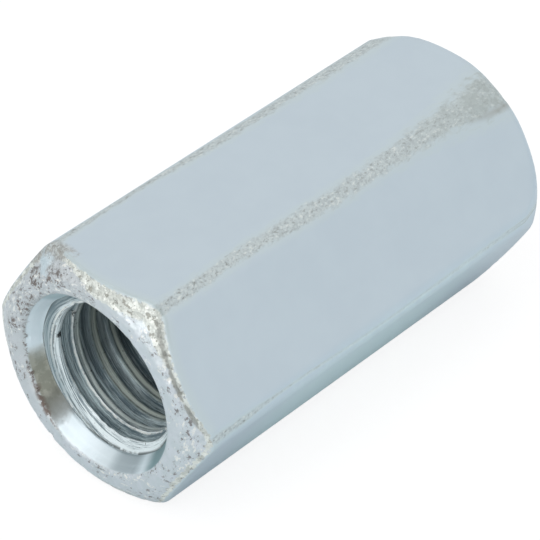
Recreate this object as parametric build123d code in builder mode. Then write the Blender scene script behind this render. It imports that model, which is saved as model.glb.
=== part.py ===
"""Long hexagonal coupling nut: one bar of steel, tapped from both ends, lying on one of its flats.

The bore runs along X with the nearer mouth at -X, and Z points up. The origin is the middle of the
bore, halfway along the nut. All sizes are in millimetres.
"""

import math
import os

from build123d import *

os.makedirs("parts", exist_ok=True)

# Hexagonal bar
across_flats = 27.0
length = 57.0
corner_radius = 3.0

# Right-hand thread: V-shaped grooves between flat crests, cut this far into each mouth
crest_radius = 7.85
groove_depth = 1.35
flank_angle = 30.0
pitch = 2.5
first_groove = 2.66
threaded_depth = 15.0

# Countersunk mouths, wider than the grooves by this much all round: an outer cone that leads down to
# the depth of the grooves, and a wider-angled one from there to the crests
mouth_margin = 1.3
outer_countersink_angle = 60.0
inner_countersink_angle = 110.0

# Near end: a flat ring round the mouth, a bevelled edge, then a cone that leans back by this angle
near_ring_width = 1.8
near_bevel = 0.5
near_cone_angle = 35.0

# Far end, worn rounder: a narrow ring, facets that turn by this angle, then a steep cone
far_ring_width = 0.1
far_turn_angle = 74.0
far_facet_count = 3
far_cone_width = 1.15

# How far cutting shapes reach past the surfaces that they cut
overcut = 0.3


def slope(angle):
    """Rise over run of a line at this angle in degrees."""
    return math.tan(math.radians(angle))


near_x = -length / 2
far_x = length / 2
half_flats = across_flats / 2
sharp_corner = half_flats / math.cos(math.radians(30))
blank_radius = sharp_corner + overcut
root_radius = crest_radius + groove_depth
mouth_radius = root_radius + mouth_margin

# Near end of the blank, the round outline that the bar is turned to
near_corner = (near_x, mouth_radius + near_ring_width)
near_cone_length = (blank_radius - near_corner[1]) * slope(near_cone_angle)
near_cone_end = (near_x + near_cone_length, blank_radius)

# Far end of the blank: facets from the ring to the start of the steep cone, their corners on an arc
far_ring_radius = mouth_radius + far_ring_width
far_arc_rise = sharp_corner - far_cone_width - far_ring_radius
far_arc_radius = far_arc_rise / math.sin(math.radians(far_turn_angle))


def far_corner(facet):
    """Corner of the blank's outline after this many facets."""
    turned = math.radians(far_turn_angle * facet / far_facet_count)
    back = far_arc_radius * (1 - math.cos(turned))
    out = far_arc_radius * math.sin(turned)
    return (far_x - back, far_ring_radius + out)


far_corners = [far_corner(facet) for facet in range(far_facet_count + 1)]
far_cone_start = far_corners[-1]
far_cone_length = (blank_radius - far_cone_start[1]) * slope(far_turn_angle)
far_cone_end = (far_cone_start[0] - far_cone_length, blank_radius)

with BuildPart() as blank:
    with BuildSketch(Plane.XY) as blank_profile:
        with BuildLine():
            Polyline(
                (far_x, 0),
                *far_corners,
                far_cone_end,
                near_cone_end,
                near_corner,
                (near_x, 0),
                close=True,
            )
        make_face()
        chamfer(blank_profile.vertices().sort_by_distance(near_corner)[0], length=near_bevel)
    revolve(axis=Axis.X)

# One turn of the thread's groove
groove_half_width = (groove_depth + overcut) * slope(flank_angle)

with BuildPart() as groove_turn:
    with BuildLine() as groove_path:
        Helix(pitch=pitch, height=pitch, radius=crest_radius, direction=(1, 0, 0))
    with BuildSketch(Plane.XZ):
        with BuildLine():
            Polyline(
                (-groove_half_width, crest_radius - overcut),
                (0, root_radius),
                (groove_half_width, crest_radius - overcut),
                close=True,
            )
        make_face()
    sweep(path=groove_path.line, is_frenet=True)

# Turns of one helix, from outside the near mouth to outside the far one, without those in the middle
turns_outside = 3
turn_count = math.ceil(length / pitch) + 2 * turns_outside
first_turn = near_x + first_groove - turns_outside * pitch
turns = [first_turn + turn * pitch for turn in range(turn_count)]
turn_starts = [(turn, 0, 0) for turn in turns if abs(turn) > far_x - threaded_depth]

outer_cone_depth = (mouth_radius - root_radius) / slope(outer_countersink_angle / 2)
countersink_depth = outer_cone_depth + groove_depth / slope(inner_countersink_angle / 2)

with BuildPart() as coupling_nut:
    # Bar lying on a flat, its long corners rounded
    with BuildSketch(Plane.YZ.offset(near_x)):
        RegularPolygon(radius=half_flats, side_count=6, major_radius=False)
    extrude(amount=length)
    fillet(coupling_nut.edges().filter_by(Axis.X), radius=corner_radius)
    # Ends turned to the blank's outline
    add(blank.part, mode=Mode.INTERSECT)
    # Bore and its two countersinks
    with BuildSketch(Plane.XZ):
        with BuildLine():
            Polyline(
                (near_x, 0),
                (near_x, mouth_radius),
                (near_x + outer_cone_depth, root_radius),
                (near_x + countersink_depth, crest_radius),
                (far_x - countersink_depth, crest_radius),
                (far_x - outer_cone_depth, root_radius),
                (far_x, mouth_radius),
                (far_x, 0),
                close=True,
            )
        make_face()
    revolve(axis=Axis.X, mode=Mode.SUBTRACT)
    # Thread
    with Locations(*turn_starts):
        add(groove_turn.part, mode=Mode.SUBTRACT)

coupling_nut.part.label = "coupling_nut"
export_step(coupling_nut.part, "parts/coupling_nut.step")
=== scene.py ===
"""Looks of the coupling nut: its worn zinc surface, the whole thread, light and camera."""

import math

import bmesh
import bpy
import numpy as np
from mathutils import Matrix, Vector


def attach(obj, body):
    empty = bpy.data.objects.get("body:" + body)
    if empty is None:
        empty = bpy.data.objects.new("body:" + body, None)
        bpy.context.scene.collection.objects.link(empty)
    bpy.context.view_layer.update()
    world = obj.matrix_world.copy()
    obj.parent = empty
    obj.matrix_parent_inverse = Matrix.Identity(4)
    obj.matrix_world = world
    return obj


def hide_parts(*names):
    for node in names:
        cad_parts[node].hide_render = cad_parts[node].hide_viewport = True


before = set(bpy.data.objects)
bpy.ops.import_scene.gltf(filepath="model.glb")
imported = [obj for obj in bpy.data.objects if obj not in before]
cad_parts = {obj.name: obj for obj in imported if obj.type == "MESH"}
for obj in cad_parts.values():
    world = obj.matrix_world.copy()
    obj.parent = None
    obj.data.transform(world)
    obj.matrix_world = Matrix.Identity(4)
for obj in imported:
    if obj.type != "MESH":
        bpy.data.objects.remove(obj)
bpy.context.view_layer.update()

MM = 0.001

# Sizes of the nut in millimetres, as in the part's source
across_flats = 27.0
half_flats = across_flats / 2
near_x, far_x = -28.5, 28.5
corner_radius = 3.0
crest_radius = 7.85
groove_depth = 1.35
root_radius = crest_radius + groove_depth
pitch = 2.5
first_groove = 2.66
mouth_radius = 10.5
flank_slope = math.tan(math.radians(30))
outer_sink_slope = math.tan(math.radians(30))
inner_sink_slope = math.tan(math.radians(55))
outer_sink_depth = (mouth_radius - root_radius) / outer_sink_slope

near_ring_radius = 12.3
near_cone_angle = math.radians(35)
far_ring_radius = 10.6
far_arc_radius = 3.99
far_turn = math.radians(74)

# Rounding of the edges between the ends and the bar's sides, with more at the bottom of the near end
near_rounding = 0.5
far_rounding = 2.8
bottom_rounding = 2.0
bottom_angle = 238
near_edge_rounding = 1.6

# How far the bottoms of the grooves are blunted
groove_blunting = 0.1

# Torn notch and nick in the first crests: depth in the bore, angle from +Y in radians, how far they cut in,
# and how far they reach along the bore and round it
chips = (
    (3.45, 0.03, 0.25, 0.25, 0.05),
    (5.23, 0.245, 0.30, 0.16, 0.02),
)

# Ends of the threaded grid inside the mouths, its change from finer rows to coarser ones, and the gap that
# is left between grids and then stitched
near_edge = near_x + 1.0
far_edge = far_x - 0.8
coarse_from = near_x + 18.0
gap = 0.1

# Points inside the metal, as X and radius, that the rays round each end start from, and the rays' length
near_start = (near_x + 3.0, 11.0)
far_start = (far_x - 4.5, 10.9)
ray_length = 9.0

# How many rays each stretch of the outside has, and how many columns of faces go round the near end and
# the finer and coarser parts of the bore
near_ray_count = 46
body_ray_count = 100
far_ray_count = 30
near_column_count = 480
fine_column_count = 200
coarse_column_count = 96

# Parts of a turn of the thread at which rows of points lie, from the middle of one groove to the next
fine_rows = (0, 0.1, 0.2, 0.27, 0.312, 0.345, 0.42, 0.5, 0.58, 0.655, 0.688, 0.73, 0.8, 0.9)
coarse_rows = (0, 0.15, 0.312, 0.42, 0.58, 0.688, 0.85)


# Noise


def hashed(cells, seed):
    """A repeatable number from 0 to 1 for each cell of an integer grid, mixed from the bits of its place."""
    mixed = (cells * np.array([73856093, 19349663, 83492791])).sum(axis=-1) + seed * 2654435761
    mixed = (mixed ^ (mixed >> 13)) * 1274126177 & 0xFFFFFFFF
    mixed = (mixed ^ (mixed >> 16)) * 2246822519 & 0xFFFFFFFF
    return ((mixed ^ (mixed >> 15)) & 0xFFFFFF) / float(0xFFFFFF)


def noise(points, size, seed):
    """Smooth noise from -1 to 1 whose bumps are about this many millimetres wide."""
    scaled = points / size
    base = np.floor(scaled).astype(np.int64)
    part = scaled - base
    part = part * part * (3 - 2 * part)
    total = np.zeros(len(points))
    for corner in range(8):
        offset = np.array([corner & 1, corner >> 1 & 1, corner >> 2 & 1])
        weight = np.where(offset, part, 1 - part).prod(axis=-1)
        total += weight * hashed(base + offset, seed)
    return total * 2 - 1


def layered(points, size, seed, layers=3):
    """Noise with finer noise on top of it."""
    return sum(noise(points, size / 2**k, seed + k) / 2**k for k in range(layers)) / 1.6


def ramp(value, start, end):
    """Smooth step from 0 at the start to 1 at the end."""
    t = np.clip((value - start) / (end - start), 0, 1)
    return t * t * (3 - 2 * t)


def hump(value, middle, width):
    """Smooth hump of height 1 that is about this wide on each side of its middle."""
    return np.exp(-(((value - middle) / width) ** 2))


def turned_from(angle, degrees):
    """Angle in radians from a direction given in degrees, between minus and plus half a turn."""
    return (angle - math.radians(degrees) + math.pi) % (2 * math.pi) - math.pi


# Outside of the nut


def folded_angle(angle):
    """Angle from the middle of the nearest flat."""
    return np.abs((angle + math.pi / 6 - math.pi / 2) % (math.pi / 3) - math.pi / 6)


def bar_distance(r, angle):
    """Distance outside the hexagonal bar, at a radius and angle."""
    folded = folded_angle(angle)
    along, out = r * np.sin(folded), r * np.cos(folded)
    inner = half_flats - corner_radius
    past = np.maximum(along - inner * math.tan(math.pi / 6), 0)
    return np.where(past > 0, np.hypot(out - inner, past), out - inner) - corner_radius


def rounded(a, b, radius, turn):
    """Distance outside two shapes' overlap, with the edge where their faces turn by this angle rounded."""
    reach = radius * (1 / np.cos(turn / 2) - 1) / (math.sqrt(2) - 1)
    return np.minimum(np.maximum(a, b), -reach) + np.hypot(np.maximum(a + reach, 0), np.maximum(b + reach, 0))


def blank_distance(x, r):
    """Distance outside the round outline that the ends are turned to, and its angle to the bar's sides."""
    cone = ((r - near_ring_radius) * math.tan(near_cone_angle) - (x - near_x)) * math.cos(near_cone_angle)
    near = rounded(near_x - x, cone, near_edge_rounding, near_cone_angle)
    dx, dr = x - (far_x - far_arc_radius), r - far_ring_radius
    turned = np.arctan2(dr, dx)
    arc = np.hypot(dx, dr) - far_arc_radius
    steep = dx * math.cos(far_turn) + dr * math.sin(far_turn) - far_arc_radius
    far = np.where(turned < 0, x - far_x, np.where(turned < far_turn, arc, steep))
    turn = np.where(x < 0, math.pi / 2 - near_cone_angle, math.pi / 2 - np.clip(turned, 0, far_turn))
    return np.maximum(near, far), turn


def mouth_distance(x, r):
    """Distance outside the outer cones of the two countersinks, towards the bore."""
    depth = np.minimum(x - near_x, far_x - x)
    return (mouth_radius - depth * outer_sink_slope - r) * math.cos(math.atan(outer_sink_slope))


# Corners as angles from +Y: how wide each one's worn band is, how far it lies towards the next flat, and
# how many columns of faces it gets
corners = {
    0: (0.8, 0.0, 26),
    60: (0.9, 0.35, 40),
    120: (1.1, 0.0, 60),
    180: (0.8, -0.4, 46),
    240: (0.8, 0.0, 30),
    300: (0.8, 0.0, 26),
}
seen_corner = 120
lower_corner = 180
corner_distance = (half_flats - corner_radius) / math.cos(math.pi / 6) + corner_radius
column_reach = 9.5

# The most that a value of wear or distance says of a point well away from what it marks
far_off = 3.0


def corner_wear(x, angle):
    """How deep inside a corner's worn band a point lies: 1 in its middle, 0 at its edge and below outside."""
    along = (x - near_x) / (far_x - near_x)
    wander = 0.32 * hump(along, 0.52, 0.2) - 0.25 * hump(along, 0.25, 0.12) + 0.12 * ramp(along, 0.6, 0.9)
    half_width = 0.55 + 0.20 * ramp(along, 0.2, 0.5) + 0.35 * ramp(along, 0.55, 0.8)
    worn = np.full(x.shape, -far_off)
    for degrees, (width, offset, _) in corners.items():
        away = turned_from(angle, degrees) * corner_distance - wander - offset
        if degrees == lower_corner:
            width = width - 0.6 * ramp(along, 0.05, 0.25)
        if degrees == seen_corner:
            width = width + 1.1 * ramp(along, 0.75, 1.0)
        worn = np.maximum(worn, 1 - np.abs(away) / (half_width * width))
    return worn


def past_rim(x, r, angle):
    """How far a point on an end's turned surface lies from the bar's sides, and below 0 on the sides."""
    return blank_distance(x, r)[0] - bar_distance(r, angle)


def valley(x, r, angle):
    """Furrow on the near cone, along the edge of the flat between the seen corner and the lower one."""
    past_seen, past_lower = turned_from(angle, seen_corner - 1), turned_from(angle, lower_corner - 3)
    width = 0.18 + 0.16 * ramp(past_seen, 0.5, 0.0)
    across = hump(past_rim(x, r, angle), 0.28 + width, width) * (x < 0)
    return across * ramp(past_seen, 0, 0.07) * ramp(-past_lower, -0.03, 0.08)


def outer_wear(points, x, r, angle):
    """Depth of metal worn off the outside."""
    band = ramp(corner_wear(x, angle), -0.3, 0.7)
    rough = 0.5 + 0.5 * layered(points, 0.9, 11)
    dents = np.maximum(noise(points, 0.7, 21) - 0.4, 0) * 1.6
    past = past_rim(x, r, angle)
    near_end = ramp(past, -0.3, 0.2) * (x < 0)
    on_cone = near_end * ramp(r, near_ring_radius - 0.7, near_ring_radius + 0.1)
    crumpled = on_cone * ramp(-np.abs(turned_from(angle, 90)), -0.75, -0.45)
    depth = band * (0.02 + 0.05 * rough + 0.08 * dents)
    depth += on_cone * (0.02 + 0.10 * rough + 0.12 * dents)
    depth += crumpled * (0.10 * np.abs(noise(points, 0.55, 24)) + 0.10 * rough)
    depth += near_end * (0.01 + 0.04 * rough * rough + 0.05 * dents)
    depth += 0.20 * valley(x, r, angle) * (0.6 + 0.4 * rough)
    return depth + 0.003 * (1 + noise(points, 6.0, 31))


def lip_rounding(angle):
    """Rounding of the mouths' edges, more worn on the side of +Y."""
    return 0.9 + 1.0 * hump(turned_from(angle, 5), 0, 0.65)


def outside(x, r, angle, points):
    """Distance outside the worn nut, with its mouths' outer cones and without the rest of its bore."""
    near_edges = near_rounding + bottom_rounding * hump(turned_from(angle, bottom_angle), 0, 0.25)
    edge = np.where(x < 0, near_edges, far_rounding)
    blank, turn = blank_distance(x, r)
    solid = rounded(bar_distance(r, angle), blank, edge, turn)
    solid = rounded(solid, mouth_distance(x, r), lip_rounding(angle), math.radians(60))
    return solid + outer_wear(points, x, r, angle)


def body_angles():
    """Angles of the columns along the bar, close together on its corners."""
    angles = []
    for degrees, (*_, count) in corners.items():
        angles.extend(np.linspace(degrees - column_reach, degrees + column_reach, count))
        angles.extend(np.linspace(degrees + column_reach, degrees + 60 - column_reach, 11)[1:-1])
    return np.radians(np.array(angles))


def on_sink(x):
    """Point on a mouth's outer cone, as X and radius."""
    depth = min(x - near_x, far_x - x)
    return (x, mouth_radius - depth * outer_sink_slope)


def straight_out(start):
    """Point straight out from another, away from the axis."""
    return (start[0], start[1] + ray_length)


def ray_fan(start, first, last, count):
    """Rays in a plane through the axis that turn from a first target to a last one."""
    turns = [math.atan2(target[1] - start[1], target[0] - start[0]) for target in (first, last)]
    if start[0] < 0 and turns[0] < 0:
        turns[0] += 2 * math.pi
    return [(*start, math.cos(turn), math.sin(turn)) for turn in np.linspace(*turns, count)]


def surface_grid(rays, angles):
    """Rows and columns of points where rays meet the worn outside, one row for each ray."""
    rays = np.array(rays)
    angle = np.broadcast_to(angles, (len(rays), len(angles))).ravel()
    x0, r0, dx, dr = (np.repeat(rays[:, k], len(angles)) for k in range(4))
    low, high = np.zeros(len(angle)), np.full(len(angle), ray_length)
    for _ in range(24):
        middle = (low + high) / 2
        x, r = x0 + dx * middle, r0 + dr * middle
        points = np.stack([x, r * np.cos(angle), r * np.sin(angle)], axis=-1)
        within = outside(x, r, angle, points) < 0
        low, high = np.where(within, middle, low), np.where(within, high, middle)
    x, r = x0 + dx * low, r0 + dr * low
    return np.stack([x, r * np.cos(angle), r * np.sin(angle)], axis=-1)


def grid_faces(row_count, column_count):
    """Faces between the rows of a grid that closes on itself."""
    faces = []
    for i in range(row_count - 1):
        row, next_row = i * column_count, (i + 1) * column_count
        for j in range(column_count):
            k = (j + 1) % column_count
            faces.append((row + j, row + k, next_row + k, next_row + j))
    return faces


# Bore


def thread_radius(x, phase, angle, points, lines):
    """Radius of the threaded wall, torn near the mouth. The phase is 0 in a groove's middle."""
    away = np.abs((phase + 0.5) % 1.0 - 0.5) * pitch
    torn = ramp(x, near_x + 5.5, near_x + 3.5)
    ragged = 0.05 * noise(points, 0.6, 41) + torn * 0.25 * np.maximum(layered(points, 1.3, 42) - 0.1, 0)
    half_groove = groove_depth * flank_slope
    groove = np.minimum(groove_depth * (1 - (away - ragged) / half_groove), groove_depth - groove_blunting)
    burr = -0.03 * hump(away, half_groove + 0.06, 0.06) * (1 + noise(points, 0.8, 44))
    return crest_radius + np.where(groove > 0, groove, burr + lines)


def sink_radius(x, angle, lines):
    """Radius of the countersinks: two cones with a step between them, and a furrow in the inner one."""
    depth = np.minimum(x - near_x, far_x - x)
    outer = mouth_radius - depth * outer_sink_slope
    inner = root_radius - (depth - outer_sink_depth) * inner_sink_slope
    furrow_depth = 2.61 + 0.31 * angle / (math.pi / 2)
    furrow = 0.10 * hump(depth, furrow_depth, 0.13) * ramp(np.abs(angle), 2.4, 1.8)
    furrow = furrow + 0.10 * hump(depth, outer_sink_depth + 0.05, 0.06)
    return np.where(depth < outer_sink_depth, outer, inner + lines) + furrow


def bore_radius(x, phase, angle, points):
    """Radius of the bore's wall, with its thread, its countersinks and the chips in its first crests."""
    from_middle = ((phase + 0.5) % 1.0 - 0.5) * pitch
    lines = 0.02 * noise(np.stack([from_middle * 9, angle * 2.5, x * 0.2], axis=-1), 1.0, 43)
    wall = np.maximum(thread_radius(x, phase, angle, points, lines), sink_radius(x, angle, lines))
    for depth, chip_angle, cut, along, around in chips:
        wall = wall + cut * hump(x, near_x + depth, along) * hump(angle, chip_angle, around)
    return wall


def bore_grid(start, end, column_count, phases):
    """Rows that follow the thread, trimmed square at both ends, as vertices and faces."""
    per_turn = len(phases)
    angles = np.linspace(-math.pi, math.pi, column_count, endpoint=False)
    first = math.floor((start - near_x - first_groove) / pitch) - 2
    last = math.ceil((end - near_x - first_groove) / pitch) + 2
    rows = np.array([turn + phase for turn in range(first, last) for phase in phases])
    row, angle = np.meshgrid(rows, angles, indexing="ij")
    x = near_x + first_groove + pitch * (row + (angle - math.pi / 2) / (2 * math.pi))
    flat = np.stack([x, crest_radius * np.cos(angle), crest_radius * np.sin(angle)], axis=-1).reshape(-1, 3)
    r = bore_radius(x.ravel(), row.ravel(), angle.ravel(), flat).reshape(x.shape)
    points = np.stack([x, r * np.cos(angle), r * np.sin(angle)], axis=-1)
    mesh = bmesh.new()
    verts = [[mesh.verts.new(p) for p in line] for line in points]
    for i in range(len(rows) - 1):
        for j in range(column_count - 1):
            mesh.faces.new((verts[i][j], verts[i + 1][j], verts[i + 1][j + 1], verts[i][j + 1]))
    for i in range(len(rows) - 1 - per_turn):
        j = column_count - 1
        mesh.faces.new((verts[i][j], verts[i + 1][j], verts[i + 1 + per_turn][0], verts[i + per_turn][0]))
    for plane, side in ((start, -1), (end, 1)):
        geometry = mesh.verts[:] + mesh.edges[:] + mesh.faces[:]
        bmesh.ops.bisect_plane(
            mesh, geom=geometry, plane_co=(plane, 0, 0), plane_no=(side, 0, 0), clear_outer=True, dist=1e-5
        )
    mesh.verts.index_update()
    points = np.array([v.co[:] for v in mesh.verts])
    faces = [tuple(v.index for v in face.verts) for face in mesh.faces]
    mesh.free()
    return points, faces


def stitch(first, second, points):
    """Triangles between two rings of points about the axis, given as indices."""
    rings = []
    for index in (first, second):
        turned = np.arctan2(points[index, 2], points[index, 1]) % (2 * math.pi)
        order = np.argsort(turned)
        rings.append((index[order], np.append(turned[order], turned[order[0]] + 2 * math.pi)))
    (a, a_turn), (b, b_turn) = rings
    i = j = 0
    faces = []
    while i < len(a) or j < len(b):
        if j == len(b) or (i < len(a) and a_turn[i + 1] < b_turn[j + 1]):
            faces.append((int(a[i % len(a)]), int(a[(i + 1) % len(a)]), int(b[j % len(b)])))
            i += 1
        else:
            faces.append((int(a[i % len(a)]), int(b[(j + 1) % len(b)]), int(b[j % len(b)])))
            j += 1
    return faces


# Whole nut


def nut_pieces():
    """The nut's surface as five grids in order round its section: points, faces, and first and last rings."""
    near_rays = ray_fan(near_start, on_sink(near_edge - gap), straight_out(near_start), near_ray_count)
    body_x = np.linspace(near_start[0] + 3 * gap, far_start[0] - 3 * gap, body_ray_count)
    body_rays = [(x, near_start[1], 0.0, 1.0) for x in body_x]
    far_rays = ray_fan(far_start, straight_out(far_start), on_sink(far_edge + gap), far_ray_count)
    near_angles = np.linspace(-math.pi, math.pi, near_column_count, endpoint=False)
    pieces = []
    for rays, angles in ((near_rays, near_angles), (body_rays, body_angles()), (far_rays, body_angles())):
        points = surface_grid(rays, angles)
        count = len(angles)
        ends = (np.arange(count), np.arange(len(points) - count, len(points)))
        pieces.append((points, grid_faces(len(rays), count), ends))
    for start, end, column_count, phases in (
        (coarse_from + gap, far_edge - gap, coarse_column_count, coarse_rows),
        (near_edge + gap, coarse_from, fine_column_count, fine_rows),
    ):
        points, faces = bore_grid(start, end, column_count, phases)
        ends = tuple(np.nonzero(np.abs(points[:, 0] - cut) < 1e-4)[0] for cut in (end, start))
        pieces.append((points, faces, ends))
    return pieces


def nut_points():
    """All points and faces of the nut."""
    points, faces, rings = [], [], []
    offset = 0
    for piece_points, piece_faces, ends in nut_pieces():
        points.append(piece_points)
        faces += [tuple(v + offset for v in face) for face in piece_faces]
        rings.append([end + offset for end in ends])
        offset += len(piece_points)
    points = np.concatenate(points)
    for k, ring in enumerate(rings):
        faces += stitch(ring[1], rings[(k + 1) % len(rings)][0], points)
    return points, faces


def surface_masks(points):
    """Values for each point that tell the metal's finish apart: wear, furrow, and place by rim and corner."""
    x = points[:, 0]
    r = np.hypot(points[:, 1], points[:, 2])
    angle = np.arctan2(points[:, 2], points[:, 1])
    past = np.clip(past_rim(x, r, angle), -far_off, far_off)
    side = np.clip(turned_from(angle, seen_corner) * corner_distance, -far_off, far_off)
    worn = np.where(r < mouth_radius, -far_off, corner_wear(x, angle))
    return {"worn": worn, "past_rim": past, "valley": valley(x, r, angle), "side": side}


def make_nut():
    """The nut as one closed mesh."""
    points, faces = nut_points()
    mesh = bpy.data.meshes.new("coupling_nut_worn")
    mesh.from_pydata((points * MM).tolist(), [], faces)
    for name, values in surface_masks(points).items():
        layer = mesh.attributes.new(name, "FLOAT", "POINT")
        layer.data.foreach_set("value", values.astype(np.float32))
    shape = bmesh.new()
    shape.from_mesh(mesh)
    bmesh.ops.recalc_face_normals(shape, faces=shape.faces)
    shape.to_mesh(mesh)
    shape.free()
    mesh.shade_smooth()
    nut = bpy.data.objects.new("coupling_nut_worn", mesh)
    bpy.context.scene.collection.objects.link(nut)
    return nut


# Materials


class Nodes:
    """Short ways to add and join a material's nodes."""

    def __init__(self, material):
        material.use_nodes = True
        self.tree = material.node_tree
        self.tree.nodes.clear()

    def add(self, kind, values=None, **settings):
        node = self.tree.nodes.new("ShaderNode" + kind)
        for name, value in settings.items():
            setattr(node, name, value)
        for name, value in (values or {}).items():
            self.set(node, name, value)
        return node

    def set(self, node, name, value):
        socket = node.inputs[name]
        if isinstance(value, bpy.types.NodeSocket):
            self.tree.links.new(value, socket)
        else:
            socket.default_value = value

    def attribute(self, name):
        return self.add("Attribute", attribute_name=name).outputs["Fac"]

    def math(self, operation, a, b=0.0, c=0.0):
        return self.add("Math", {0: a, 1: b, 2: c}, operation=operation).outputs[0]

    def product(self, first, *others):
        for other in others:
            first = self.math("MULTIPLY", first, other)
        return first

    def inverse(self, value):
        return self.math("SUBTRACT", 1.0, value)

    def roughened(self, value, noise, swing):
        """A value with a noise added to it that swings this much in all about 0."""
        return self.math("ADD", value, self.math("MULTIPLY_ADD", noise, swing, -swing / 2))

    def vector(self, operation, a, b=(0, 0, 0)):
        return self.add("VectorMath", {0: a, 1: b}, operation=operation).outputs[0]

    def distance(self, a, b):
        return self.add("VectorMath", {0: a, 1: b}, operation="DISTANCE").outputs["Value"]

    def joined(self, x, y, z=0.0):
        return self.add("CombineXYZ", {"X": x, "Y": y, "Z": z}).outputs[0]

    def ramp(self, value, start, end, low=0.0, high=1.0):
        values = {"Value": value, "From Min": start, "From Max": end, "To Min": low, "To Max": high}
        return self.add("MapRange", values, interpolation_type="SMOOTHSTEP").outputs["Result"]

    def hump(self, value, middle, width):
        """1 in the middle, 0 from this width away."""
        away = self.math("ABSOLUTE", self.math("SUBTRACT", value, middle))
        return self.ramp(away, width, 0.0)

    def mix(self, factor, a, b):
        node = self.add("Mix", data_type="RGBA")
        self.set(node, 0, factor)
        self.set(node, 6, a if isinstance(a, bpy.types.NodeSocket) else (*a, 1))
        self.set(node, 7, b if isinstance(b, bpy.types.NodeSocket) else (*b, 1))
        return node.outputs[2]

    def varied(self, value, start, end, tints):
        """Colour that goes from the first tint to the second as the value goes from start to end."""
        return self.mix(self.ramp(value, start, end), *tints)

    def paint(self, colour, tint, *masks):
        """A colour with a tint laid over it, as strongly as the product of the masks."""
        return self.mix(self.product(*masks), colour, tint)

    def noise(self, vector, scale, detail=4.0, roughness=0.6):
        values = {"Vector": vector, "Scale": scale, "Detail": detail, "Roughness": roughness}
        return self.add("TexNoise", values).outputs["Fac"]

    def facets(self, vector, scale):
        """Random value from patch to patch of a crumpled surface."""
        values = {"Vector": vector, "Scale": 1.3, "Detail": 3.0, "Roughness": 0.6}
        warp = self.add("TexNoise", values).outputs["Color"]
        warped = self.vector("ADD", vector, self.vector("MULTIPLY", warp, (1.6, 1.6, 1.6)))
        return self.add("TexVoronoi", {"Vector": warped, "Scale": scale}).outputs["Color"]

    def noise_4d(self, vector, w, detail, roughness):
        values = {"Vector": vector, "W": w, "Scale": 1.0, "Detail": detail, "Roughness": roughness}
        return self.add("TexNoise", values, noise_dimensions="4D").outputs["Fac"]

    def bump(self, height, strength, depth, normal=None):
        """Normal that follows a height this many millimetres deep."""
        node = self.add("Bump", {"Height": height, "Strength": strength, "Distance": depth * MM})
        if normal:
            self.set(node, "Normal", normal)
        return node.outputs[0]


# Colours of the metal, and of the light and shade painted on some of it, as linear red, green and blue. Where
# a name has two, the surface varies between them
plate_tints = ((0.608, 0.696, 0.757), (0.622, 0.711, 0.770))
plate_beside_wear = (0.635, 0.725, 0.745)
# Painted light on the lower flat that faces the floor
painted_light_lower_flat = (0.72, 0.86, 0.88)
band_tints = ((0.52, 0.575, 0.585), (0.63, 0.695, 0.70))
far_band_tints = ((0.47, 0.52, 0.505), (0.56, 0.62, 0.615))
band_flecks = ((0.92, 0.95, 0.91), (0.22, 0.22, 0.20))
brown_edge = (0.36, 0.35, 0.31)
end_tints = ((0.66, 0.72, 0.74), (0.72, 0.765, 0.80))
end_dull = (0.60, 0.62, 0.625)
end_flecks = ((0.95, 0.95, 0.91), (0.24, 0.22, 0.21))
rubbed_tints_and_facet_light = ((0.62, 0.64, 0.59), (0.88, 0.90, 0.84))
rim_highlight_and_shade_flecks = ((0.96, 0.97, 0.91), (0.27, 0.25, 0.20))
rim_fillet_shade = (0.56, 0.61, 0.60)
furrow_grey = (0.36, 0.365, 0.34)
corner_tints = ((0.38, 0.38, 0.36), (0.64, 0.67, 0.66))
corner_brown = (0.25, 0.22, 0.19)
smooth_blue = (0.66, 0.75, 0.79)
pit_brown = (0.17, 0.13, 0.11)
deep_pit_brown = (0.16, 0.12, 0.10)
sink_tints = ((0.81, 0.90, 0.94), (0.84, 0.92, 0.96))
sink_reflection_grey = (0.64, 0.70, 0.72)
brown_reflection_tints = ((0.29, 0.295, 0.24), (0.38, 0.38, 0.32))
crest_tints = ((0.90, 0.98, 0.99), (0.86, 0.94, 0.83))
crest_lines = (0.15, 0.21, 0.235)
crest_dark_lines = (0.07, 0.11, 0.13)
crest_grey = (0.35, 0.42, 0.45)
crest_rim_highlight = (0.93, 1.0, 0.92)
deep_crest_shade = (0.10, 0.14, 0.145)
groove_shade_tints = ((0.11, 0.16, 0.185), (0.66, 0.78, 0.80))
flank_glint = (0.92, 0.93, 0.88)
crease_shade = (0.07, 0.08, 0.07)
thread_speck = (0.05, 0.05, 0.04)
deep_thread_shade = (0.05, 0.065, 0.065)
first_turn_shade = (0.17, 0.25, 0.28)
sink_step = (0.09, 0.11, 0.11)
mark_black = (0.03, 0.03, 0.03)

# Painted reflections round the mouths' outer cones, the teal ones partly a passivation tint: angle from +Y
# and spread in degrees, share of the spread that the full colour takes, raggedness of the edge, strength, and
# colour
sink_reflections_and_tints = (
    (-49, 13, 0.3, 0.03, 0.65, (0.17, 0.175, 0.16)),
    (-114, 16, 0.3, 0.01, 0.75, (0.40, 0.47, 0.50)),
    (-158, 28, 0.5, 0.02, 0.9, (0.24, 0.37, 0.39)),
    (56, 18, 0.5, 0.03, 0.6, (0.47, 0.62, 0.65)),
)

# Clusters of pits on the ring: their middles in Y and Z, and how far they reach
pit_clusters = (
    (7.8, 9.4, 1.5),
    (6.2, 10.9, 1.3),
    (4.6, 11.2, 1.0),
    (9.9, 4.9, 1.6),
    (8.7, 6.6, 1.1),
    (11.4, 1.8, 1.3),
    (11.5, -1.3, 0.7),
    (10.4, -4.5, 0.9),
)

# Patch beside them that has stayed smooth
smooth_patch = (7.4, 11.2, 1.35)

# Nick, and two parts of a torn notch, in the first crests: their middles, and how far they reach
crest_marks = (
    ((near_x + 5.2, 7.7, 1.9), 0.42),
    ((near_x + 3.4, 8.1, 0.1), 0.40),
    ((near_x + 3.5, 8.1, -0.9), 0.25),
)


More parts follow.
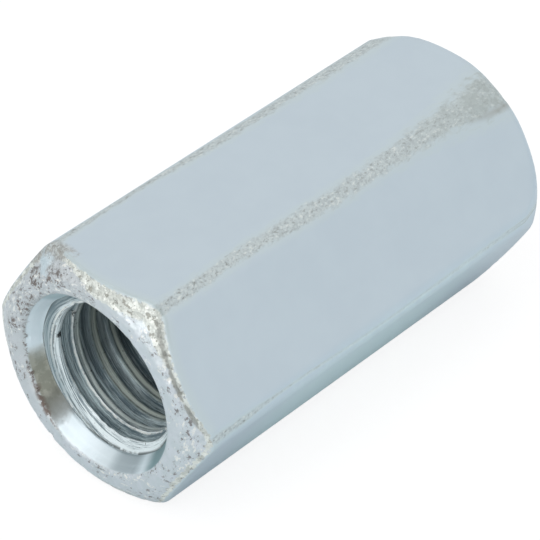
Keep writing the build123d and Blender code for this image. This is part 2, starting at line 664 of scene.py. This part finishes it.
class NutNodes(Nodes):
    """Nodes of the nut's metal, with the places, noises and regions that its parts share."""

    def __init__(self, material):
        super().__init__(material)
        self.find_place()
        self.make_noises()
        self.mark_bore()
        self.mark_bands()
        self.mark_near_end()
        self.mark_thread()

    def find_place(self):
        """Place in millimetres, and from it the radius, the direction round the bore and the depth."""
        position = self.add("TexCoord").outputs["Object"]
        self.place = self.vector("MULTIPLY", position, (1 / MM, 1 / MM, 1 / MM))
        parts = self.add("SeparateXYZ", {0: self.place}).outputs
        self.x = parts["X"]
        self.across = self.vector("MULTIPLY", self.place, (0, 1, 1))
        self.r = self.add("VectorMath", {0: self.across}, operation="LENGTH").outputs["Value"]
        self.direction = self.vector("NORMALIZE", self.across)
        self.angle = self.math("ARCTAN2", parts["Z"], parts["Y"])
        from_near = self.math("SUBTRACT", self.x, near_x)
        from_far = self.math("SUBTRACT", far_x, self.x)
        self.depth = self.math("MINIMUM", from_near, from_far)

    def make_noises(self):
        """Noises that vary the colours and roughen the edges of the regions."""
        self.blotches = self.noise(self.place, 0.7)
        self.patch = self.noise(self.place, 0.75, 4.0, 0.65)
        self.speckle = self.noise(self.place, 2.6, 3.0, 0.7)
        self.tongues = self.noise(self.stretched(0.6, 1.4, 1.4), 1.1, 5.0, 0.65)

    def mark_bore(self):
        """Bore, its threaded part, the near end round it, and how far inside the mouth's lip a point is."""
        cone_radius = self.math("MULTIPLY_ADD", self.depth, -outer_sink_slope, mouth_radius)
        beyond_cone = self.math("SUBTRACT", self.r, cone_radius)
        lip_width = self.math("MULTIPLY_ADD", self.towards(5, 60), 0.45, 0.20)
        self.lip = self.math("SUBTRACT", self.math("SUBTRACT", self.depth, beyond_cone), lip_width)
        in_mouth = self.product(self.ramp(self.lip, -0.10, 0.10), self.ramp(self.r, 11.3, 11.1))
        self.inside = self.math("MAXIMUM", in_mouth, self.ramp(self.r, 9.75, 9.65))
        below_sink = self.ramp(self.depth, outer_sink_depth - 0.02, outer_sink_depth + 0.05)
        self.threaded = self.product(self.inside, below_sink)
        self.near_half = self.ramp(self.x, 1.0, -1.0)
        self.past = self.attribute("past_rim")
        outside_bore = self.inverse(self.inside)
        self.end = self.product(self.ramp(self.past, -0.05, 0.15), outside_bore, self.near_half)

    def mark_bands(self):
        """Worn bands along the corners, and their flecks."""
        self.worn = self.roughened(self.attribute("worn"), self.tongues, 2.2)
        band = self.ramp(self.worn, -0.45, 0.45)
        lower_line = self.product(self.towards(lower_corner, 14), self.ramp(self.x, -24, -14))
        self.band = self.product(band, self.math("MULTIPLY_ADD", lower_line, -0.6, 1.0))
        self.far_band = self.product(self.ramp(self.x, 6.0, 28.0), self.towards(seen_corner, 30))
        self.band_flecks = self.flecks(self.stretched(0.9, 1.5, 1.5), 1.9)

    def mark_near_end(self):
        """Marked parts of the near ring and cone, crumpled metal along the cone's rim, and their flecks."""
        outer_part = self.ramp(self.r, 11.7, 12.9)
        bottom_lip = self.product(self.towards(-115, 45), self.hump(self.lip, -0.45, 0.7))
        marked = self.math("MULTIPLY_ADD", outer_part, 0.10, -0.02)
        marked = self.math("MAXIMUM", marked, self.product(bottom_lip, 0.30))
        marked = self.math("MAXIMUM", marked, self.product(self.towards(48, 55), 0.15))
        marked = self.math("MAXIMUM", marked, self.product(self.towards(-170, 70), outer_part, 0.20))
        self.marked = self.ramp(self.math("ADD", self.patch, marked), 0.53, 0.60)
        reach = self.math("MULTIPLY_ADD", self.towards(110, 34, 0.3), 0.70, 0.40)
        from_middle = self.math("SUBTRACT", self.past, self.math("MULTIPLY", reach, 0.75))
        away = self.math("MULTIPLY", self.math("ABSOLUTE", from_middle), 1.4)
        within = self.math("SUBTRACT", self.roughened(reach, self.tongues, 1.6), away)
        edge = self.math("MULTIPLY_ADD", self.towards(90, 56), 0.22, self.past)
        edge = self.ramp(self.roughened(edge, self.tongues, 0.5), -0.2, 0.05)
        outside_bore = self.inverse(self.inside)
        self.on_rim = self.product(self.ramp(within, -0.05, 0.25), self.near_half, edge, outside_bore)
        # Fillet along the near rim, where the colour is dimmed with painted shade and the roughness is raised
        self.rim_line = self.product(self.hump(self.past, -0.12, 0.40), self.near_half, self.towards(95, 45))
        self.foil = self.facets(self.stretched(1.5, 1.0, 1.0), 1.25)
        self.rim_flecks = self.flecks(self.stretched(1.5, 0.9, 0.9), 1.3)

    def mark_thread(self):
        """Distance along the bore from the middle of the nearest groove, and fine lines that follow it."""
        turn = self.math("SUBTRACT", self.x, near_x + first_groove)
        turn = self.math("MULTIPLY", turn, 2 * math.pi / pitch)
        turn = self.math("ADD", self.math("SUBTRACT", turn, self.angle), math.pi / 2)
        turned = self.math("ADD", self.math("DIVIDE", turn, 2 * math.pi), 0.5)
        turned = self.math("SUBTRACT", self.math("FRACT", turned), 0.5)
        self.from_groove = self.roughened(self.math("MULTIPLY", turned, pitch), self.patch, 0.14)
        round_turn = [self.math("MULTIPLY", self.math(wave, turn), 1.7) for wave in ("COSINE", "SINE")]
        circle = self.joined(*round_turn, self.math("MULTIPLY", self.x, 0.9))
        drift = self.math("MULTIPLY", self.math("COSINE", self.angle), 0.7)
        self.lines = self.noise_4d(circle, drift, 5.0, 0.85)

    def stretched(self, x, y, z):
        """Place with each direction scaled, so that a noise at it is longer where the scale is small."""
        return self.vector("MULTIPLY", self.place, (x, y, z))

    def towards(self, degrees, spread, sharpness=0.5, ragged=0.10):
        """1 at this angle about the bore, 0 from this spread away."""
        aim = (0, math.cos(math.radians(degrees)), math.sin(math.radians(degrees)))
        dot = self.add("VectorMath", {0: self.direction, 1: aim}, operation="DOT_PRODUCT").outputs["Value"]
        dot = self.roughened(dot, self.blotches, ragged)
        return self.ramp(dot, math.cos(math.radians(spread)), math.cos(math.radians(spread * sharpness)))

    def spot(self, middle_y, middle_z, reach):
        """1 near this point across the bar, 0 from this far away."""
        away = self.distance(self.across, (0, middle_y, middle_z))
        return self.ramp(self.roughened(away, self.patch, 2.5), reach, reach * 0.5)

    def flecks(self, vector, scale):
        """Short light flecks, and the dark ones between them."""
        waves = self.noise(vector, scale, 4.0, 0.72)
        return self.ramp(waves, 0.555, 0.615), self.ramp(waves, 0.435, 0.385)


def band_colour(n):
    """Grey metal of the worn bands, with a darker grey towards the far end of the seen corner."""
    colour = n.varied(n.speckle, 0.36, 0.60, band_tints)
    far_colour = n.varied(n.patch, 0.38, 0.60, far_band_tints)
    colour = n.paint(colour, far_colour, n.far_band, 0.8)
    flecked = n.product(n.ramp(n.patch, 0.34, 0.50), n.inverse(n.math("MULTIPLY", n.far_band, 0.45)))
    (light, dark), (light_tint, dark_tint) = n.band_flecks, band_flecks
    colour = n.paint(colour, light_tint, flecked, light, 0.5)
    return n.paint(colour, dark_tint, flecked, dark, n.ramp(n.x, -22, 0, 0.65, 0.42))


def side_colour(n):
    """Pale blue-grey plate, with the worn bands along its corners, and painted light along the middle of the
    lower flat that faces the floor.
    """
    cloud = n.noise(n.place, 0.25, 2.0)
    plate = n.varied(cloud, 0.3, 0.7, plate_tints)
    beside_end = n.product(n.ramp(n.past, -1.3, -0.2), n.near_half)
    beside_wear = n.math("MAXIMUM", n.ramp(n.worn, -1.3, -0.2), beside_end)
    plate = n.paint(plate, plate_beside_wear, beside_wear, 0.7)
    colour = n.mix(n.band, plate, band_colour(n))
    edge = n.product(n.hump(n.attribute("worn"), 0.0, 0.35), n.ramp(n.attribute("side"), 0.4, 0.8))
    colour = n.paint(colour, brown_edge, edge, n.ramp(n.x, 19, 24), 0.45)
    middle = n.ramp(n.math("ABSOLUTE", n.x), 24, 8)
    # Painted light: the lower flat, which faces down to the floor, made paler and bluer along its middle
    return n.paint(colour, painted_light_lower_flat, n.towards(210, 34, 0.6), middle, 0.9)


def end_colour(n):
    """Near ring and cone: plate that is dull on one side and flecked where it is marked."""
    colour = n.varied(n.blotches, 0.35, 0.65, end_tints)
    colour = n.paint(colour, end_dull, n.towards(25, 100), 0.55)
    across_ring = n.joined(n.math("MULTIPLY", n.r, 2.2), 0, 0)
    round_ring = n.vector("MULTIPLY", n.direction, (0, 13, 13))
    light, dark = n.flecks(n.vector("ADD", round_ring, across_ring), 0.95)
    light_tint, dark_tint = end_flecks
    colour = n.paint(colour, light_tint, n.marked, light, 0.9)
    return n.paint(colour, dark_tint, n.marked, dark, 0.85)


def rubbed_rim(n, colour):
    """Crumpled, rubbed metal along the near cone's rim, most of it above the mouth, with painted highlights
    and shade on its facets and flecks, painted shade on the rim's fillet, and a dark furrow.
    """
    # Creamy rubbed metal, with painted light: each facet made lighter or darker at random, plus painted
    # highlight flecks and painted shade flecks
    rubbed = n.varied(n.foil, 0.30, 0.65, rubbed_tints_and_facet_light)
    (light, dark), (light_tint, dark_tint) = n.rim_flecks, rim_highlight_and_shade_flecks
    rubbed = n.paint(rubbed, light_tint, light, 0.6)
    rubbed = n.paint(rubbed, dark_tint, dark, 0.7)
    # Painted shade: the rim's fillet dimmed to grey, so that it shows no bright line from the lamp above
    colour = n.paint(colour, rim_fillet_shade, n.rim_line, 0.5)
    colour = n.paint(colour, rubbed, n.on_rim, 0.9)
    valley = n.attribute("valley")
    furrow = n.roughened(n.roughened(valley, n.speckle, 1.2), n.patch, 2.4)
    return n.paint(colour, furrow_grey, n.ramp(furrow, 0.30, 1.0), n.ramp(valley, 0.05, 0.3), 0.75)


def rubbed_corner(n, colour):
    """Corner over the top of the near end, rubbed to a brownish grey."""
    corner = n.ramp(n.roughened(n.r, n.patch, 1.5), 13.65, 14.05)
    corner = n.product(corner, n.towards(57, 17, 0.75), n.ramp(n.x, near_x + 3.2, near_x + 2.2))
    streaks = n.varied(n.speckle, 0.40, 0.60, corner_tints)
    streaks = n.paint(streaks, corner_brown, n.band_flecks[1], 0.7)
    return n.paint(colour, streaks, corner, 0.8)


def pitted_ring(n, colour):
    """Clusters of pits on the ring, beside a patch that has stayed smooth."""
    smooth = n.product(n.spot(*smooth_patch), n.near_half)
    colour = n.mix(smooth, colour, smooth_blue)
    small_pits = n.ramp(n.noise(n.place, 2.2, 5.0, 0.75), 0.46, 0.41)
    large_pits = n.ramp(n.noise(n.stretched(1.0, 1.3, 0.9), 1.3, 5.0, 0.7), 0.47, 0.43)
    pits = n.math("MAXIMUM", small_pits, large_pits)
    clusters = n.spot(*pit_clusters[0])
    for cluster in pit_clusters[1:]:
        clusters = n.math("MAXIMUM", clusters, n.spot(*cluster))
    return n.paint(colour, pit_brown, clusters, pits, n.end, n.inverse(smooth), 0.85)


def pitted_lip(n, colour):
    """Dark pits along the mouth's torn lip, and a few more all over the end."""
    near_lip = n.hump(n.lip, -0.1, 0.6)
    torn_lip = n.hump(n.roughened(n.lip, n.patch, 2.4), -0.1, 0.35)
    dots = n.ramp(n.noise(n.place, 1.3, 5.0, 0.75), 0.49, 0.44)
    pits = n.product(torn_lip, near_lip, n.towards(-26, 44), dots)
    large_dots = n.ramp(n.noise(n.place, 0.9, 5.0, 0.7), 0.54, 0.48)
    large_pits = n.product(near_lip, n.towards(-44, 15), large_dots)
    pits = n.product(n.math("MAXIMUM", pits, large_pits), n.ramp(n.r, 12.3, 12.0), n.near_half)
    few_pits = n.product(n.ramp(n.noise(n.place, 1.6, 5.0, 0.75), 0.34, 0.30), n.end)
    return n.paint(colour, deep_pit_brown, n.math("MAXIMUM", pits, few_pits), 0.95)


def sink_colour(n):
    """Smooth outer cones of the mouths, with painted reflections laid round them by angle: a brown one, greys
    and teals, the teals partly a passivation tint.
    """
    colour = n.varied(n.blotches, 0.35, 0.65, sink_tints)
    # Painted reflections: a grey on the cones' lower side, a brown one low on the side of +Y, then the
    # further reflections and tints by angle
    colour = n.paint(colour, sink_reflection_grey, n.towards(-85, 42, 0.5, 0.02), 0.3)
    brown_reflection = n.varied(n.patch, 0.44, 0.60, brown_reflection_tints)
    colour = n.paint(colour, brown_reflection, n.towards(-31, 26, 0.45, 0.06), 0.95)
    for degrees, spread, sharpness, ragged, strength, tint in sink_reflections_and_tints:
        colour = n.paint(colour, tint, n.towards(degrees, spread, sharpness, ragged), strength)
    return colour


def crest_colour(n, low, deep):
    """Bright crests with fine dark lines, and deeper in the bore painted shade in the crests' middles between
    painted highlights on their edges, stronger on the lower walls.
    """
    shallow = n.inverse(deep)
    bright = n.varied(n.depth, 5.0, 8.0, crest_tints)
    colour = n.mix(n.ramp(n.lines, 0.42, 0.55), crest_lines, bright)
    colour = n.paint(colour, crest_dark_lines, shallow, n.ramp(n.lines, 0.5, 0.45), 0.45)
    colour = n.paint(colour, crest_grey, shallow, 0.18)
    # Painted shade in the middles of the deep crests, and painted highlights on their edges, stronger where
    # the lower walls catch the light
    core = n.ramp(n.math("ABSOLUTE", n.from_groove), 1.15, 0.80)
    edge_strength = n.math("MULTIPLY_ADD", low, 0.40, 0.45)
    colour = n.paint(colour, crest_rim_highlight, n.inverse(core), deep, edge_strength)
    return n.paint(colour, deep_crest_shade, core, deep, 0.75)


def thread_colour(n):
    """Thread with bright crests, painted glints and shade lines at their edges, and grooves darkened with
    painted shade, with more painted shade deep on the side of +Y and on the first turn away from the lower
    walls.
    """
    low = n.towards(-112, 80, 0.3)
    deep = n.ramp(n.depth, 4.4, 6.2)
    cone_depth = n.math("SUBTRACT", n.depth, outer_sink_depth)
    cone_radius = n.math("MULTIPLY_ADD", cone_depth, -inner_sink_slope, root_radius)
    above_crest = n.math("SUBTRACT", n.r, n.math("MAXIMUM", cone_radius, crest_radius))
    # Painted shade in the grooves, streaked lighter by the thread's lines
    groove = n.varied(n.lines, 0.42, 0.62, groove_shade_tints)
    colour = n.mix(n.ramp(above_crest, 0.03, 0.25), crest_colour(n, low, deep), groove)
    # Painted highlight: a thin glint along the flank just under each crest's edge
    burr = n.product(n.hump(n.from_groove, 0.72, 0.10), n.ramp(n.patch, 0.38, 0.55))
    colour = n.paint(colour, flank_glint, burr, n.ramp(n.depth, 7.5, 5.5), 0.8)
    # Painted shade: a thin dark line in the crease beside the burr on each crest
    dark_crease = n.product(n.hump(n.from_groove, 0.86, 0.07), n.ramp(n.blotches, 0.35, 0.55))
    colour = n.paint(colour, crease_shade, dark_crease, 0.8)
    colour = n.paint(colour, thread_speck, n.ramp(n.speckle, 0.36, 0.30), 0.7)
    # Painted shade: the deep bore darkened on the side of +Y
    colour = n.paint(colour, deep_thread_shade, n.towards(25, 80), n.ramp(n.depth, 4.5, 8.0), 0.5)
    # Painted shade: the first turn darkened to a deep blue-grey away from the lower walls
    return n.paint(colour, first_turn_shade, n.hump(n.depth, 2.5, 0.45), n.inverse(low), 0.65)


def bore_marks(n, colour):
    """Dark step between a mouth's two cones, and the nick and torn notch in the first crests."""
    step_width = n.math("MULTIPLY_ADD", n.towards(-130, 60), 0.10, 0.06)
    step = n.hump(n.depth, outer_sink_depth + 0.03, step_width)
    colour = n.paint(colour, sink_step, step, n.inside, n.ramp(n.patch, 0.35, 0.48), 0.85)
    for middle, reach in crest_marks:
        away = n.roughened(n.distance(n.place, middle), n.speckle, 1.4)
        colour = n.paint(colour, mark_black, n.ramp(away, reach, reach * 0.6), 0.9)
    return colour


def fine_relief(n):
    """Relief too fine for the mesh: crumples on the worn parts, and the thread's lines."""
    light, dark = n.rim_flecks
    crumple = n.math("ADD", n.math("SUBTRACT", light, dark), n.math("MULTIPLY", n.foil, 1.2))
    crumple = n.math("MULTIPLY_ADD", crumple, 0.5, n.noise(n.place, 3.0, 3.0, 0.7))
    bumpy = n.math("MAXIMUM", n.math("MULTIPLY", n.band, 0.35), n.product(n.end, n.marked))
    bumpy = n.math("MAXIMUM", bumpy, n.on_rim)
    normal = n.bump(crumple, n.product(bumpy, 0.7), 0.14)
    return n.bump(n.lines, n.product(n.threaded, 0.6), 0.10, normal)


def surface_roughness(n):
    """Roughness: satin plate, duller where it is worn, and dullest along the near rim."""
    roughness = n.math("MULTIPLY_ADD", n.math("MAXIMUM", n.band, n.end), 0.10, 0.34)
    roughness = n.math("ADD", roughness, n.product(n.inside, n.inverse(n.threaded), 0.20))
    return n.math("ADD", roughness, n.product(n.rim_line, 0.40))


def zinc_material():
    """Blue-grey zinc plate, crinkled and pitted at its edges, with lines and dark grooves in the bore."""
    material = bpy.data.materials.new("worn_zinc")
    n = NutNodes(material)
    colour = n.mix(n.end, side_colour(n), end_colour(n))
    colour = rubbed_rim(n, colour)
    colour = rubbed_corner(n, colour)
    colour = pitted_ring(n, colour)
    colour = n.mix(n.inside, colour, sink_colour(n))
    colour = pitted_lip(n, colour)
    colour = n.mix(n.threaded, colour, thread_colour(n))
    colour = bore_marks(n, colour)
    metallic = n.math("MULTIPLY_ADD", n.threaded, -0.75, 1.0)
    values = {"Base Color": colour, "Metallic": metallic, "Roughness": surface_roughness(n)}
    surface = n.add("BsdfPrincipled", {**values, "Normal": fine_relief(n)})
    output = n.add("OutputMaterial")
    n.set(output, "Surface", surface.outputs[0])
    return material


def floor_material():
    """White floor that keeps a faint shadow of the nut."""
    material = bpy.data.materials.new("white_floor")
    n = Nodes(material)
    path = n.add("LightPath")
    seen = path.outputs["Is Camera Ray"]
    matte = n.add("BsdfDiffuse", {"Color": n.mix(seen, (0.78, 0.82, 0.84), (0.24, 0.24, 0.24))})
    glow = n.add("Emission", {"Color": n.mix(seen, (0.01, 0.01, 0.01), (0.82, 0.82, 0.82)), "Strength": 1.0})
    both = n.add("AddShader", {0: matte.outputs[0], 1: glow.outputs[0]})
    output = n.add("OutputMaterial")
    n.set(output, "Surface", both.outputs[0])
    return material


# Stage

# Lamps that shine at the nut: name, place and width in metres, and power
lamps = (
    ("lamp_above", (-0.20, 0.03, 0.47), 0.32, 0.35),
    ("lamp_front", (-0.50, 0.0, 0.30), 0.36, 0.42),
)


def make_floor():
    """Floor under the flat that the nut rests on."""
    shape = bmesh.new()
    bmesh.ops.create_grid(shape, x_segments=8, y_segments=8, size=2.0)
    mesh = bpy.data.meshes.new("floor")
    shape.to_mesh(mesh)
    shape.free()
    floor = bpy.data.objects.new("floor", mesh)
    floor.location = (0, 0, -half_flats * MM)
    floor.data.materials.append(floor_material())
    bpy.context.scene.collection.objects.link(floor)


def make_light():
    """Pale sky all round, a soft lamp above, and one that shines into the near mouth."""
    world = bpy.data.worlds.new("studio")
    bpy.context.scene.world = world
    n = Nodes(world)
    place = n.add("TexCoord").outputs["Generated"]
    height = n.add("SeparateXYZ", {0: place}).outputs["Z"]
    sky = n.mix(n.ramp(height, -0.1, 0.9), (0.91, 0.92, 0.93), (0.93, 0.94, 0.95))
    background = n.add("Background", {"Color": sky, "Strength": 0.9})
    output = n.add("OutputWorld")
    n.set(output, "Surface", background.outputs[0])
    for name, place, size, power in lamps:
        lamp = bpy.data.lights.new(name, "AREA")
        lamp.size = size
        lamp.energy = power
        item = bpy.data.objects.new(name, lamp)
        item.location = place
        item.rotation_mode = "QUATERNION"
        item.rotation_quaternion = (-Vector(place)).to_track_quat("-Z", "Y")
        bpy.context.scene.collection.objects.link(item)


def make_camera():
    """Camera at the photo's viewing angle, with its roll, distance, and focal length and centre in pixels."""
    azimuth, elevation, roll = math.radians(41.05), math.radians(39.06), math.radians(1.74)
    distance, focal = 12.98 * across_flats, 3282.0
    centre_x, centre_y, picture = 278.7, 258.8, 540.0
    level = math.cos(elevation)
    back = Vector((-math.cos(azimuth) * level, -math.sin(azimuth) * level, math.sin(elevation)))
    forward = -back
    right = forward.cross(Vector((0, 0, 1))).normalized()
    up = right.cross(forward)
    turned_right = right * math.cos(roll) + up * math.sin(roll)
    turned_up = up * math.cos(roll) - right * math.sin(roll)
    seen_x = (centre_x - picture / 2) / focal * distance
    seen_y = -(centre_y - picture / 2) / focal * distance
    place = -(turned_right * seen_x + turned_up * seen_y + forward * distance)
    camera = bpy.data.cameras.new("camera")
    camera.sensor_width = 36.0
    camera.lens = focal / picture * camera.sensor_width
    camera.clip_start, camera.clip_end = 0.01, 20.0
    item = bpy.data.objects.new("camera", camera)
    axes = Matrix((turned_right, turned_up, back)).transposed()
    item.matrix_world = Matrix.Translation(place * MM) @ axes.to_4x4()
    bpy.context.scene.collection.objects.link(item)
    bpy.context.scene.camera = item


nut = make_nut()
nut.data.materials.append(zinc_material())
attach(nut, "root")
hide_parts("coupling_nut")
make_floor()
make_light()
make_camera()
bpy.context.scene.view_settings.view_transform = "Standard"
